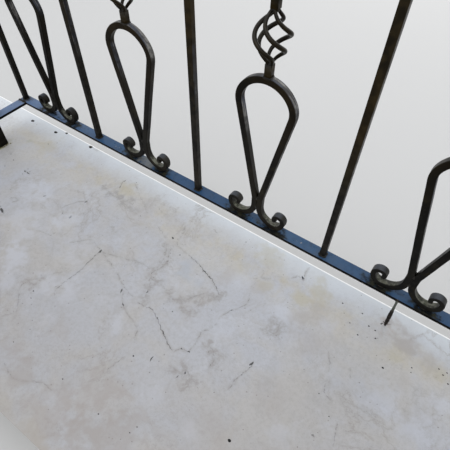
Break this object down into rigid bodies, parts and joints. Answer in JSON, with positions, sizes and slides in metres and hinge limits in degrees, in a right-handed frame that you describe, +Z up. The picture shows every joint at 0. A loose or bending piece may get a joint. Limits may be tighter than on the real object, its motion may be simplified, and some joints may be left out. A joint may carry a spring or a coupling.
{
  "type": "iron balcony",
  "caption": "Street balcony: marble floor on a concrete slab, with a black iron railing of square bars, scroll-footed lyres and twisted baskets",
  "frame": {"origin": "centre of the slab's rear face, where the balcony meets the house wall", "axes": "+Z up, the street front faces -Y, the wall is the plane Y = 0, +X is to the right as seen from the street"},
  "size_m": [2.554, 0.6716, 1.198],
  "materials": {
    "black_paint": "glossy black paint on hand-forged iron, dusty in the scrolls",
    "marble": "honed cream-grey marble with fine brown veins and hairline cracks",
    "concrete": "painted cement render, weathered",
    "rusty_steel": "rusted steel rod"
  },
  "bodies": {
    "root": {"concrete_slab": "concrete", "marble_floor": "marble", "bottom_rail_front": "black_paint", "bottom_rail_left": "black_paint", "bottom_rail_right": "black_paint", "top_rail_front": "black_paint", "top_rail_left": "black_paint", "top_rail_right": "black_paint", "handrail": "black_paint", "corner_bar_left": "black_paint", "corner_bar_right": "black_paint", "wall_bar_left": "black_paint", "wall_bar_right": "black_paint", "side_bar_left": "black_paint", "side_bar_right": "black_paint", "front_bar_1": "black_paint", "front_bar_2": "black_paint", "front_bar_3": "black_paint", "front_bar_4": "black_paint", "front_bar_5": "black_paint", "lyre_front_1": "black_paint", "lyre_front_2": "black_paint", "lyre_front_3": "black_paint", "lyre_front_4": "black_paint", "lyre_front_5": "black_paint", "lyre_front_6": "black_paint", "lyre_left_1": "black_paint", "lyre_left_2": "black_paint", "lyre_right_1": "black_paint", "lyre_right_2": "black_paint", "basket_front_1": "black_paint", "basket_front_2": "black_paint", "basket_front_3": "black_paint", "basket_front_4": "black_paint", "basket_front_5": "black_paint", "basket_front_6": "black_paint", "basket_left_1": "black_paint", "basket_left_2": "black_paint", "basket_right_1": "black_paint", "basket_right_2": "black_paint", "leg_left": "black_paint", "leg_right": "black_paint", "anchor_rod": "rusty_steel", "wall_plates_left": "black_paint", "wall_plates_right": "black_paint"}
  },
  "joints": []
}
